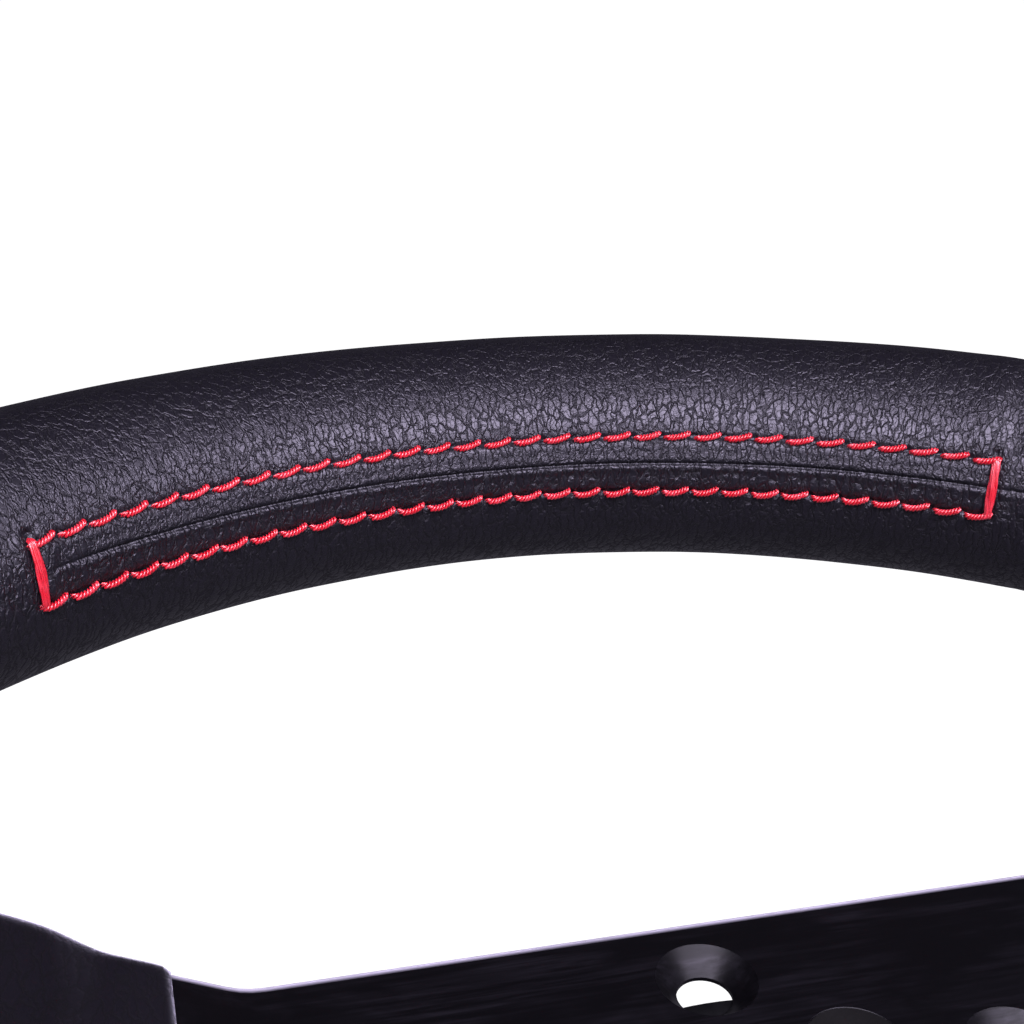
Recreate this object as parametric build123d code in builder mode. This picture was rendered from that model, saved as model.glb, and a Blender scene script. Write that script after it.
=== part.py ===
"""Quick release steering wheel: a leather-wrapped flat-bottom wheel on a bent spoke plate, with a ball-lock release hub.

Frame, in millimetres: the origin is on the steering axis, at the spoke plate's back face, where a hub bears on it.
+Z points along the steering axis towards the driver, +Y towards the top of the rim and +X to the driver's right.
Heights below are from the plate's front face, and each finished piece is moved up by the plate's thickness.
"""

from build123d import *
from math import cos, radians, sin, sqrt
import os

os.makedirs("parts", exist_ok=True)

# --- Rim: a round top and sides, with a flat bottom ---
RIM_Z = 26.0  # dish: the rim's centre line above the plate's front face
ARC_R = 145.4  # radius of the rim's centre line round the top and sides
ARC_Y = -13.2  # centre of that arc
BOTTOM_Y = -118.0  # centre line of the flat bottom
CORNER_R = 45.0  # bend between the sides and the flat bottom
GRIP_R = 17.8  # outside of the leather, from the rim's centre line
LEATHER_T = 1.4
FOAM_R = GRIP_R - LEATHER_T
CORE_R = 7.0  # steel core tube
CORE_WALL = 1.5
TOP_PANEL_HALF = 52.0  # degrees each side of twelve o'clock

corner_y = BOTTOM_Y + CORNER_R
corner_x = sqrt((ARC_R - CORNER_R) ** 2 - (corner_y - ARC_Y) ** 2)
corner_angle = 90 + Vector(corner_x, corner_y - ARC_Y, 0).get_angle(Vector(1, 0, 0))

# --- Spoke plate: a bent aluminium sheet ---
PLATE_T = 3.2
PLATE_R = 44.8  # round centre, whose top is in line with the side arms' straight top edge
ARM_TOP = PLATE_R
ARM_BOTTOM = -2.0
LOWER_ARM_HALF = 21.0
BEND_AT = 52.0  # where the flat centre ends, from the axis
LEVEL_AT = 110.0  # where an arm is level again, in the rim's middle plane
LOWER_BEND_AT = 46.0
LOWER_LEVEL_AT = 90.0
ARM_Z = RIM_Z + PLATE_T / 2
BEND_R = 10.0
ARM_GAP = 8.5  # from an arm's end to the rim's centre line
EDGE_R = 0.6  # rounding of the plate's front edges

# --- Hole patterns ---
WHEEL_PCD = 70.0
WHEEL_HOLE_R = 3.3
WHEEL_SINK_R = 6.0
HUB_PCD = 50.0
HUB_SCREW_R = 3.0
HUB_HEAD_R = 5.6
CENTRE_HOLE_R = 15.0
RIVET_R = 2.5
RIVET_INSET = 15.0  # from the rim's centre line
RIVET_GAP = 20.0
RIVET_HEAD_R, RIVET_HEAD_T = 4.5, 1.6
LUG_T, LUG_L, LUG_W = 4.0, 20.0, 32.0
SIDE_LUG_ANGLE = 14.0  # from the X axis, about the arc's centre

# --- Leather on the spoke roots ---
SLEEVE_START = 60.0
LOWER_SLEEVE_START = 58.0
SLEEVE_T = 1.3  # at its open end, on each side of the plate
SLEEVE_MID_T = 4.5  # where the arm turns level
SLEEVE_ROOT_T = 7.5  # inside the rim
SLEEVE_END = 133.0

# --- Seam: two thread rows beside a butt joint on the inner side of the rim ---
SEAM_ANGLE = 167.0  # round the grip's section: 0 is outermost, 90 faces the driver, 180 is innermost
ROW_OFFSET = 13.4  # degrees of the section from the seam to each thread row
STITCH_COUNT = 30
STITCH_FIRST = -30.2  # degrees from twelve o'clock
STITCH_STEP = 2.08
STITCH_L = 3.3
STITCH_SLANT = -12.0
THREAD_R = 0.42
TACK_LEFT, TACK_RIGHT = -33.0, 31.6
TACK_HALF = 14.5  # degrees of the section
TACK_R = 0.7

# --- Release hub ---
FLANGE_R, FLANGE_T = 34.8, 8.0
FLANGE_BREAK = 0.3  # broken edge at the flange's front
SHAFT_R = 13.0
FIT = 0.05  # radial running clearance
BALL_R, BALL_COUNT, BALL_LIFT = 3.5, 6, 1.6
BALL_Z = -40.0
MOUTH_Z = -56.0
INSERT_R, INSERT_BOTTOM = 16.0, -31.2
COLLAR_R, COLLAR_TOP, COLLAR_BOTTOM = 27.0, -12.2, -46.4
COLLAR_TRAVEL = 6.0
LIP = 2.5  # the collar's finger lip stands this far out
RAMP_EASE = 0.6
GRIP_GROOVES = (-43.0, -38.5, -34.0, -29.5, -25.0)
GROOVE_W, GROOVE_DEPTH = 1.6, 0.8
SPRING_R, WIRE_R, SPRING_STEP_Z = 20.4, 0.8, -27.0
SPRING_POCKET_R = 22.4
SPRING_TURNS = 5
RING_T, RING_TOP, RING_R, RING_DEPTH, RING_GAP = 1.4, -52.6, 21.0, 1.35, 7.0
SPLINE_ROOT_R, SPLINE_R, TOOTH_W, TEETH = 11.0, 12.9, 2.8, 12
WIDE_TOOTH_W = 4.6
STOP_GAP = 0.3
SOCKET_KEY_R, SOCKET_KEY_DEPTH = 2.3, 2.2
CAP_R, CAP_H = 17.5, 4.5
SHAFT_TOP = -8.0
ORING_Z, ORING_R = -48.8, 1.2
SHOULDER_R, SHOULDER_T = 20.0, 4.0
SOCKET_R, COLUMN_R = 16.0, 10.05
SHAFT_BOTTOM, SOCKET_DEPTH = -100.0, 34.0
CROSS_HOLE_R, CROSS_HOLE_Z = 4.1, -86.0

bore_r = SHAFT_R + FIT
barrel_r = bore_r + 2 * BALL_R - BALL_LIFT
flange_bottom = -PLATE_T - FLANGE_T
ball_out = bore_r + BALL_R  # a ball's centre when it is clear of the shaft
ball_in = ball_out - BALL_LIFT
CLEAR = 0.08  # round a ball that is pressed home

rim_plane = Plane.XY.offset(RIM_Z)
lug_spots = {
    "right": Pos(0, ARC_Y) * Rot(0, 0, SIDE_LUG_ANGLE) * Pos(ARC_R - RIVET_INSET, 0),
    "left": Pos(0, ARC_Y) * Rot(0, 0, 180 - SIDE_LUG_ANGLE) * Pos(ARC_R - RIVET_INSET, 0),
    "lower": Pos(0, BOTTOM_Y + RIVET_INSET) * Rot(0, 0, -90),
}
rivet_spots = [spot * Pos(0, side * RIVET_GAP / 2) for spot in lug_spots.values() for side in (-1, 1)]


def keep(piece, name):
    """Moves a finished piece to the frame's origin, labels it and writes its STEP file."""
    finished = piece.part.moved(Location((0, 0, PLATE_T)))
    finished.label = name
    export_step(finished, f"parts/{name}.step")


def section_plane(angle):
    """The plane across the rim at an angle from twelve o'clock. Its x points outwards and its y to the driver."""
    out = Vector(sin(radians(angle)), cos(radians(angle)), 0)
    along = Vector(cos(radians(angle)), -sin(radians(angle)), 0)
    return Plane(origin=Vector(0, ARC_Y, RIM_Z) + out * ARC_R, x_dir=out, z_dir=along)


def top_line():
    CenterArc((0, ARC_Y), ARC_R, 90 + TOP_PANEL_HALF, -2 * TOP_PANEL_HALF)


def side_line():
    """The rim's centre line on the right, from the top panel's end down to the flat bottom."""
    CenterArc((0, ARC_Y), ARC_R, 90 - TOP_PANEL_HALF, TOP_PANEL_HALF - corner_angle)
    CenterArc((corner_x, corner_y), CORNER_R, 90 - corner_angle, corner_angle - 180)


def loop_line():
    """The whole of the rim's centre line, clockwise from the right end of the top panel."""
    side_line()
    Line((corner_x, BOTTOM_Y), (-corner_x, BOTTOM_Y))
    CenterArc((-corner_x, corner_y), CORNER_R, 270, corner_angle - 180)
    CenterArc((0, ARC_Y), ARC_R, 90 + corner_angle, TOP_PANEL_HALF - corner_angle)
    top_line()


def rings(outer, inner):
    Circle(outer)
    Circle(inner, mode=Mode.SUBTRACT)


# --- Spoke plate ---
def arm_line(bend_at, level_at, end_at):
    """The upper face of an arm, from the middle of the flat centre to the arm's end."""
    return [(0, 0), (bend_at, 0), (level_at, ARM_Z), (end_at, ARM_Z)]


with BuildPart() as lower_arm:
    with BuildSketch(Plane.YZ):
        with BuildLine() as lower_profile:
            points = [(-y, z) for y, z in arm_line(LOWER_BEND_AT, LOWER_LEVEL_AT, -BOTTOM_Y - ARM_GAP)]
            FilletPolyline(*points, radius=BEND_R)
            offset(amount=PLATE_T, side=Side.LEFT)
        make_face()
    extrude(amount=PLATE_R, both=True)

with BuildPart() as spoke_plate:
    with BuildSketch(Plane.XZ):
        with BuildLine() as arm_profile:
            right = arm_line(BEND_AT, LEVEL_AT, ARC_R)
            FilletPolyline(*[(-x, z) for x, z in reversed(right[1:])], *right[1:], radius=BEND_R)
            offset(amount=PLATE_T, side=Side.RIGHT)
        make_face()
    extrude(amount=PLATE_R, both=True)
    add(lower_arm.part)
    with BuildSketch() as plate_outline:
        Circle(PLATE_R)
        with Locations((0, (ARM_TOP + ARM_BOTTOM) / 2)):
            Rectangle(2 * ARC_R, ARM_TOP - ARM_BOTTOM)
        with Locations((0, BOTTOM_Y + ARM_GAP)):
            Rectangle(2 * LOWER_ARM_HALF, -BOTTOM_Y - ARM_GAP, align=(Align.CENTER, Align.MIN))
        fillet(plate_outline.vertices().filter_by(lambda v: v.Y < 0 and 30 > -v.Y and abs(v.X) < PLATE_R), 14)
        fillet(plate_outline.vertices().filter_by(lambda v: -45 < v.Y < -30), 10)
    extrude(amount=2 * RIM_Z, both=True, mode=Mode.INTERSECT)
    with BuildSketch() as rim_inside:
        with Locations((0, ARC_Y)):
            Circle(ARC_R - ARM_GAP)
    extrude(amount=2 * RIM_Z, both=True, mode=Mode.INTERSECT)
    front = spoke_plate.faces().filter_by(lambda f: f.normal_at().Z > 0.3)
    rim_edges = [e for e in front.edges() if sum(e in f.edges() for f in front) == 1]
    fillet(rim_edges, EDGE_R)
    with PolarLocations(WHEEL_PCD / 2, 6, start_angle=90):
        CounterSinkHole(WHEEL_HOLE_R, WHEEL_SINK_R, depth=3 * PLATE_T, counter_sink_angle=90)
    with PolarLocations(HUB_PCD / 2, 3, start_angle=60):
        CounterSinkHole(HUB_SCREW_R + 0.1, HUB_HEAD_R + 0.15, depth=3 * PLATE_T, counter_sink_angle=90)
    Hole(CENTRE_HOLE_R, depth=3 * PLATE_T)
    with Locations(Plane.XY.offset(ARM_Z)):
        with Locations(*rivet_spots):
            Hole(RIVET_R, depth=2 * PLATE_T)
keep(spoke_plate, "spoke_plate")

# --- Rim core, with a lug for each arm and the rivets that join them ---
with BuildPart() as core_solid:
    with BuildLine(rim_plane):
        loop_line()
    with BuildSketch(section_plane(TOP_PANEL_HALF)):
        Circle(CORE_R)
    sweep()

with BuildPart() as rim_core:
    add(core_solid.part)
    with BuildLine(rim_plane):
        loop_line()
    with BuildSketch(section_plane(TOP_PANEL_HALF)):
        Circle(CORE_R - CORE_WALL)
    sweep(mode=Mode.SUBTRACT)
keep(rim_core, "rim_core_tube")

lugs = []
for side, spot in lug_spots.items():
    with BuildPart() as lug:
        with BuildSketch(Plane.XY.offset(ARM_Z - PLATE_T)):
            with Locations(spot):
                RectangleRounded(LUG_L, LUG_W, 3)
                with GridLocations(1, RIVET_GAP, 1, 2):
                    Circle(RIVET_R, mode=Mode.SUBTRACT)
        extrude(amount=-LUG_T)
        add(core_solid.part, mode=Mode.SUBTRACT)
    keep(lug, f"rim_lug_{side}")
    lugs.append(lug.part)

with BuildPart() as rivets:
    for level, direction in ((ARM_Z, 1), (ARM_Z - PLATE_T - LUG_T, -1)):
        with BuildSketch(Plane.XY.offset(level)):
            with Locations(*rivet_spots):
                Circle(RIVET_HEAD_R)
        extrude(amount=direction * RIVET_HEAD_T)
    with BuildSketch(Plane.XY.offset(ARM_Z)):
        with Locations(*rivet_spots):
            Circle(RIVET_R)
    extrude(amount=-PLATE_T - LUG_T)
keep(rivets, "spoke_rivets")

# --- Foam and leather of the grip ---
def cut_buried():
    """Leaves room in the current piece for the arms' ends, lugs and rivets that it covers."""
    for piece in (spoke_plate.part, rivets.part, *lugs):
        add(piece, mode=Mode.SUBTRACT)


with BuildPart() as foam:
    with BuildLine(rim_plane):
        loop_line()
    with BuildSketch(section_plane(TOP_PANEL_HALF)):
        Circle(FOAM_R)
    sweep()
    add(core_solid.part, mode=Mode.SUBTRACT)
    cut_buried()
keep(foam, "grip_foam")

with BuildPart() as leather_top:
    with BuildLine(rim_plane):
        top_line()
    with BuildSketch(section_plane(-TOP_PANEL_HALF)):
        rings(GRIP_R, FOAM_R)
    sweep()
keep(leather_top, "leather_top")

with BuildPart() as leather_right:
    with BuildLine(rim_plane):
        side_line()
    with BuildSketch(section_plane(TOP_PANEL_HALF)):
        rings(GRIP_R, FOAM_R)
    sweep()
    cut_buried()
keep(leather_right, "leather_right")

with BuildPart() as leather_left:
    mirror(leather_right.part, about=Plane.YZ)
keep(leather_left, "leather_left")

with BuildPart() as leather_bottom:
    with BuildSketch(Plane(origin=(-corner_x, BOTTOM_Y, RIM_Z), x_dir=(0, 1, 0), z_dir=(1, 0, 0))):
        rings(GRIP_R, FOAM_R)
    extrude(amount=2 * corner_x)
    cut_buried()
keep(leather_bottom, "leather_bottom")

# --- Leather on the spoke roots, which swells from the plate's edge to the rim ---
with BuildPart() as grip_solid:
    with BuildLine(rim_plane):
        loop_line()
    with BuildSketch(section_plane(TOP_PANEL_HALF)):
        Circle(GRIP_R)
    sweep()


def arm_middle(x, bend_at, level_at):
    """Height of the middle of the sheet at a distance from the axis."""
    return min(ARM_Z, ARM_Z * (x - bend_at) / (level_at - bend_at)) - PLATE_T / 2


def sleeve_side(start, bend_at, level_at, end_at):
    """The section of a spoke sleeve, outwards along the arm's front and back along its rear."""
    stations = ((start, SLEEVE_T), (level_at, SLEEVE_MID_T), (end_at, SLEEVE_ROOT_T))
    half = PLATE_T / 2
    front = [(x, arm_middle(x, bend_at, level_at) + half + t) for x, t in stations]
    rear = [(x, arm_middle(x, bend_at, level_at) - half - t) for x, t in stations]
    return front + rear[::-1]


with BuildPart() as sleeve_right:
    with BuildSketch(Plane.XZ.offset(-ARM_TOP - SLEEVE_T)):
        with BuildLine():
            Polyline(*sleeve_side(SLEEVE_START, BEND_AT, LEVEL_AT, SLEEVE_END), close=True)
        make_face()
    extrude(amount=ARM_TOP - ARM_BOTTOM + 2 * SLEEVE_T)
    add(grip_solid.part, mode=Mode.SUBTRACT)
    cut_buried()
keep(sleeve_right, "spoke_sleeve_right")

with BuildPart() as sleeve_left:
    mirror(sleeve_right.part, about=Plane.YZ)
keep(sleeve_left, "spoke_sleeve_left")

with BuildPart() as sleeve_lower:
    with BuildSketch(Plane.YZ.offset(-LOWER_ARM_HALF - SLEEVE_T)):
        with BuildLine():
            section = sleeve_side(LOWER_SLEEVE_START, LOWER_BEND_AT, LOWER_LEVEL_AT, -BOTTOM_Y - CORE_R)
            Polyline(*[(-y, z) for y, z in section], close=True)
        make_face()
    extrude(amount=2 * (LOWER_ARM_HALF + SLEEVE_T))
    add(grip_solid.part, mode=Mode.SUBTRACT)
    cut_buried()
keep(sleeve_lower, "spoke_sleeve_lower")


# --- Thread rows and bar tacks of the seam ---
def on_grip(angle, section_angle, height):
    """The plane on the leather, x pointing out of it and z along the rim, at a height above it."""
    across = section_plane(angle)
    out = across.x_dir * cos(radians(section_angle)) + across.y_dir * sin(radians(section_angle))
    return Plane(origin=across.origin + out * (GRIP_R + height), x_dir=out, z_dir=across.z_dir)


for row, side in (("outer", -1), ("inner", 1)):
    with BuildPart() as thread:
        angles = [STITCH_FIRST + i * STITCH_STEP for i in range(STITCH_COUNT)]
        with Locations(*[on_grip(a, SEAM_ANGLE + side * ROW_OFFSET, THREAD_R + FIT) for a in angles]):
            Cylinder(THREAD_R, STITCH_L, rotation=(STITCH_SLANT, 0, 0))
    keep(thread, f"thread_row_{row}")

for side, angle in (("left", TACK_LEFT), ("right", TACK_RIGHT)):
    start = on_grip(angle, SEAM_ANGLE - TACK_HALF, TACK_R + FIT)
    with BuildPart() as tack:
        with BuildSketch(Plane(origin=start.origin, x_dir=start.x_dir, z_dir=start.y_dir)):
            Circle(TACK_R)
        revolve(axis=Axis(section_plane(angle).origin, start.z_dir), revolution_arc=2 * TACK_HALF)
    keep(tack, f"bar_tack_{side}")

# --- Centre cap: a blank in the plate's centre hole ---
dome_r = (CAP_R**2 + (CAP_H - 1) ** 2) / (2 * (CAP_H - 1))
with BuildPart() as centre_cap:
    with BuildSketch(Plane.XZ):
        with BuildLine():
            spigot_r, spigot_end = CENTRE_HOLE_R - FIT, 0.2 - PLATE_T
            Polyline((0, CAP_H), (0, spigot_end), (spigot_r, spigot_end), (spigot_r, 0), (CAP_R, 0), (CAP_R, 1))
            ThreePointArc((CAP_R, 1), (CAP_R / 2, CAP_H - dome_r + sqrt(dome_r**2 - CAP_R**2 / 4)), (0, CAP_H))
        make_face()
    revolve(axis=Axis.Z)
keep(centre_cap, "centre_cap")

# --- Release hub, screwed to the back of the plate ---
with BuildPart() as hub:
    with BuildSketch(Plane.XZ):
        with BuildLine():
            Polyline(
                (INSERT_R, -PLATE_T), (FLANGE_R - FLANGE_BREAK, -PLATE_T), (FLANGE_R, -PLATE_T - FLANGE_BREAK),
                (FLANGE_R, flange_bottom + 1), (FLANGE_R - 1, flange_bottom), (barrel_r, flange_bottom),
                (barrel_r, MOUTH_Z + 1), (barrel_r - 1, MOUTH_Z), (bore_r + 1, MOUTH_Z), (bore_r, MOUTH_Z + 1),
                (bore_r, INSERT_BOTTOM), (INSERT_R, INSERT_BOTTOM), close=True,
            )
        make_face()
    revolve(axis=Axis.Z)
    with BuildSketch(Plane.XY.offset(RING_TOP)):
        rings(barrel_r + 1, barrel_r - RING_DEPTH)
    extrude(amount=-RING_T, mode=Mode.SUBTRACT)
    with BuildSketch(Plane.XY.offset(ORING_Z)):
        Circle(SHAFT_R + 2 * ORING_R + 2 * FIT)
    extrude(amount=ORING_R + FIT, both=True, mode=Mode.SUBTRACT)
    with Locations(Plane.XY.offset(BALL_Z)):
        with PolarLocations(ball_in, BALL_COUNT):
            Sphere(BALL_R + CLEAR, mode=Mode.SUBTRACT)
            with Locations(Rot(0, 90, 0)):
                along = (Align.CENTER, Align.CENTER, Align.MIN)
                Cylinder(BALL_R + CLEAR, 2 * BALL_R, align=along, mode=Mode.SUBTRACT)
    with Locations(Plane.XY.offset(-PLATE_T)):
        with PolarLocations(HUB_PCD / 2, 3, start_angle=60):
            Hole(HUB_SCREW_R, depth=2 * FLANGE_T)
keep(hub, "release_hub")

with BuildPart() as hub_screws:
    with PolarLocations(HUB_PCD / 2, 3, start_angle=60):
        hang = (Align.CENTER, Align.CENTER, Align.MAX)
        Cone(HUB_SCREW_R - FIT, HUB_HEAD_R, HUB_HEAD_R - HUB_SCREW_R, align=hang)
        Cylinder(HUB_SCREW_R - FIT, PLATE_T + FLANGE_T - 0.5, align=hang)
    with BuildSketch():
        with PolarLocations(HUB_PCD / 2, 3, start_angle=60):
            RegularPolygon(SOCKET_KEY_R, 6)
    extrude(amount=-SOCKET_KEY_DEPTH, mode=Mode.SUBTRACT)
keep(hub_screws, "hub_screws")


def spline_outline(extra):
    """The splined section, grown by a clearance. One wide tooth lets the wheel go on in one position only."""
    with PolarLocations(0, TEETH):
        Rectangle(2 * SPLINE_R, TOOTH_W + 2 * extra, align=(Align.MIN, Align.CENTER))
    with Locations(Rot(0, 0, 90)):
        Rectangle(2 * SPLINE_R, WIDE_TOOTH_W + 2 * extra, align=(Align.MIN, Align.CENTER))
    Circle(SPLINE_ROOT_R + extra)
    Circle(SPLINE_R + extra / 2, mode=Mode.INTERSECT)


with BuildPart() as spline_insert:
    with BuildSketch(Plane.XY.offset(INSERT_BOTTOM)):
        Circle(INSERT_R)
    extrude(amount=-INSERT_BOTTOM - PLATE_T)
    with BuildSketch(Plane.XY.offset(INSERT_BOTTOM)):
        spline_outline(CLEAR)
    extrude(amount=-INSERT_BOTTOM, mode=Mode.SUBTRACT)
keep(spline_insert, "spline_insert")

# --- Release collar. It is modelled pulled back, with the balls free, and slides down to lock ---
land_r = barrel_r + FIT
recess_r = ball_out + BALL_R + CLEAR
recess_end = BALL_Z - BALL_R - 0.2
with BuildPart() as collar:
    with BuildSketch(Plane.XZ):
        with BuildLine():
            Polyline(
                (land_r, COLLAR_BOTTOM), (COLLAR_R - 1.5, COLLAR_BOTTOM), (COLLAR_R, COLLAR_BOTTOM + 1.5),
                (COLLAR_R, COLLAR_TOP - 7), (COLLAR_R + LIP, COLLAR_TOP - 5), (COLLAR_R + LIP, COLLAR_TOP - 1),
                (COLLAR_R + LIP - 1, COLLAR_TOP), (SPRING_POCKET_R, COLLAR_TOP), (SPRING_POCKET_R, SPRING_STEP_Z),
                (land_r, SPRING_STEP_Z), (land_r, BALL_Z + COLLAR_TRAVEL + RAMP_EASE),
                (recess_r, BALL_Z + RAMP_EASE), (recess_r, recess_end), (land_r, recess_end), close=True,
            )
        make_face()
    revolve(axis=Axis.Z)
    for level in GRIP_GROOVES:
        with BuildSketch(Plane.XY.offset(level)):
            rings(COLLAR_R + LIP, COLLAR_R - GROOVE_DEPTH)
        extrude(amount=GROOVE_W, mode=Mode.SUBTRACT)
keep(collar, "release_collar")

with BuildPart() as spring:
    with BuildLine() as coil:
        rise = flange_bottom - SPRING_STEP_Z - 2 * (WIRE_R + FIT)
        Helix(rise / SPRING_TURNS, rise, SPRING_R, center=(0, 0, SPRING_STEP_Z + WIRE_R + FIT))
    with BuildSketch(Plane(origin=coil.line @ 0, z_dir=coil.line % 0)):
        Circle(WIRE_R)
    sweep(is_frenet=True)
keep(spring, "collar_spring")

for i in range(BALL_COUNT):
    turn = radians(i * 360 / BALL_COUNT)
    with BuildPart() as ball:
        with Locations((ball_out * cos(turn), ball_out * sin(turn), BALL_Z)):
            Sphere(BALL_R)
    keep(ball, f"lock_ball_{i + 1}")

with BuildPart() as ring:
    with BuildSketch(Plane.XY.offset(RING_TOP)):
        rings(RING_R, barrel_r - RING_DEPTH)
        Rectangle(2 * RING_R, RING_GAP, align=(Align.MIN, Align.CENTER), mode=Mode.SUBTRACT)
    extrude(amount=-RING_T)
keep(ring, "retaining_ring")

with BuildPart() as oring:
    with Locations((0, 0, ORING_Z)):
        Torus(SHAFT_R + ORING_R + FIT, ORING_R)
keep(oring, "anti_rattle_ring")

# --- Column side: the splined shaft that stays on the steering column ---
shoulder_top = MOUTH_Z - STOP_GAP
neck_top = INSERT_BOTTOM - 0.4
with BuildPart() as shaft:
    with BuildSketch(Plane.XZ):
        with BuildLine():
            Polyline(
                (0, SHAFT_TOP), (SPLINE_ROOT_R - 1, SHAFT_TOP), (SPLINE_ROOT_R, SHAFT_TOP - 1),
                (SPLINE_ROOT_R, neck_top), (SHAFT_R - 1, neck_top), (SHAFT_R, neck_top - 1),
                (SHAFT_R, shoulder_top), (SHOULDER_R - 1, shoulder_top), (SHOULDER_R, shoulder_top - 1),
                (SHOULDER_R, shoulder_top - SHOULDER_T), (SOCKET_R, shoulder_top - SHOULDER_T),
                (SOCKET_R, SHAFT_BOTTOM + 1), (SOCKET_R - 1, SHAFT_BOTTOM), (COLUMN_R, SHAFT_BOTTOM),
                (COLUMN_R, SHAFT_BOTTOM + SOCKET_DEPTH), (0, SHAFT_BOTTOM + SOCKET_DEPTH), close=True,
            )
        make_face()
    revolve(axis=Axis.Z)
    with BuildSketch(Plane.XY.offset(neck_top)):
        spline_outline(0)
    extrude(amount=SHAFT_TOP - 1 - neck_top)
    with BuildSketch(Plane.XZ):
        with Locations((ball_in, BALL_Z)):
            Circle(BALL_R + CLEAR)
    revolve(axis=Axis.Z, mode=Mode.SUBTRACT)
    with Locations(Location((0, 0, CROSS_HOLE_Z), (0, 90, 0))):
        Cylinder(CROSS_HOLE_R, 3 * SOCKET_R, mode=Mode.SUBTRACT)
keep(shaft, "column_shaft")
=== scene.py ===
"""The looks of the quick release steering wheel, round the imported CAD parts. Lengths are in mm until mm()."""

from math import atan2, ceil, cos, exp, floor, hypot, pi, radians, sin, sqrt

import bmesh
import bpy
from mathutils import Matrix, Vector, noise


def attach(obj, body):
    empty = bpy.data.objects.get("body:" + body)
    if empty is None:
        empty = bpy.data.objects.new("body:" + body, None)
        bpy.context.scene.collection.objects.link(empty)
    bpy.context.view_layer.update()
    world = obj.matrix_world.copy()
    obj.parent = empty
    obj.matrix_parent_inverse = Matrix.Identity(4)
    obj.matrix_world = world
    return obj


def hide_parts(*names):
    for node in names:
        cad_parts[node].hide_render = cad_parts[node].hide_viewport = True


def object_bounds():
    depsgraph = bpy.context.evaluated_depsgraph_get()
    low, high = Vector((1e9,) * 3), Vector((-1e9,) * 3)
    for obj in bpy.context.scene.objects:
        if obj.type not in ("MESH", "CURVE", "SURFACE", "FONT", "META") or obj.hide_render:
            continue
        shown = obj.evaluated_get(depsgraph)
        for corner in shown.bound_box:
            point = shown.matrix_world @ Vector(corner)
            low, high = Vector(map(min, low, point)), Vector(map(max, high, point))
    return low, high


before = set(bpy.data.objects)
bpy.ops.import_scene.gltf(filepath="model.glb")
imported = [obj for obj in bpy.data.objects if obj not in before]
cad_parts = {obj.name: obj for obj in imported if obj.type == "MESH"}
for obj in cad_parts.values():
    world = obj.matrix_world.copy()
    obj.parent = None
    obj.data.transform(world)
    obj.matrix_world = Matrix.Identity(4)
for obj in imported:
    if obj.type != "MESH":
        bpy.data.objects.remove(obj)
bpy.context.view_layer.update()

MM = 0.001

# --- The rim's line: a round top and sides, with a flat bottom, as in the CAD ---
RIM_Z = 26.0
ARC_R, ARC_Y = 145.4, -13.2
BOTTOM_Y, CORNER_R = -118.0, 45.0
FOAM_R = 16.4
GRIP_R = 17.73  # at twelve o'clock
SWELL, SWELL_ANGLE = 1.1, 0.62  # the grip thickens towards the sides

corner_y = BOTTOM_Y + CORNER_R
corner_x = sqrt((ARC_R - CORNER_R) ** 2 - (corner_y - ARC_Y) ** 2)
corner_turn = pi / 2 + atan2(ARC_Y - corner_y, corner_x)
ARC_END = ARC_R * corner_turn
CORNER_END = ARC_END + CORNER_R * (pi - corner_turn)
HALF_LOOP = CORNER_END + corner_x
TOP_END = ARC_R * radians(52)  # where the top leather panel ends

# --- The seam ---
SEAM = radians(166.9)
ROW_OUT, ROW_IN = 4.1, 4.5  # from the seam to each thread row, round the grip
TACK_LEFT, TACK_RIGHT = ARC_R * radians(-34.15), ARC_R * radians(31.6)
STITCH_PITCH = ARC_R * radians(2.08)
STITCH_FIRST = ARC_R * radians(-33.48)
STITCHES = 32

# --- Arms of the spoke plate ---
PLATE_T = 3.2
ARM_Z = RIM_Z + PLATE_T / 2
SIDE_ARM = dict(bend=52.0, level=110.0, start=60.0, stop=131.0, low=-2.0, high=44.8)
LOWER_ARM = dict(bend=46.0, level=90.0, start=58.0, stop=114.0, low=-21.0, high=21.0)
SLEEVE_T, SLEEVE_ROOT_T = 1.3, 8.0  # leather alone at the open edge, and the padded root
SLEEVE_STEP, SLEEVE_STEP_AT, SLEEVE_STEP_L = 2.2, 6.0, 7.5  # the step where the padding begins
SLEEVE_SIDE, SLEEVE_ROOT_SIDE = 0.9, 2.2  # how far it lies beyond the plate's sides, at edge and root
SLEEVE_ROUND = 0.84  # the radius of its corners, as a share of its half thickness
BLEND = 14.0  # how far the leather of a sleeve and of the rim run into each other


def mm(v):
    """A point drawn in millimetres from the plate's front face, in the frame's metres."""
    return (Vector(v) + Vector((0, 0, PLATE_T))) * MM


def smooth(low, high, x):
    t = min(1.0, max(0.0, (x - low) / (high - low)))
    return t * t * (3 - 2 * t)


def bump(x, width):
    return exp(-((x / width) ** 2))


# ---------------------------------------------------------------- materials
def new_material(name):
    made = bpy.data.materials.new(name)
    made.use_nodes = True
    tree = made.node_tree
    shader = next(n for n in tree.nodes if n.type == "BSDF_PRINCIPLED")
    return made, tree, shader


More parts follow.
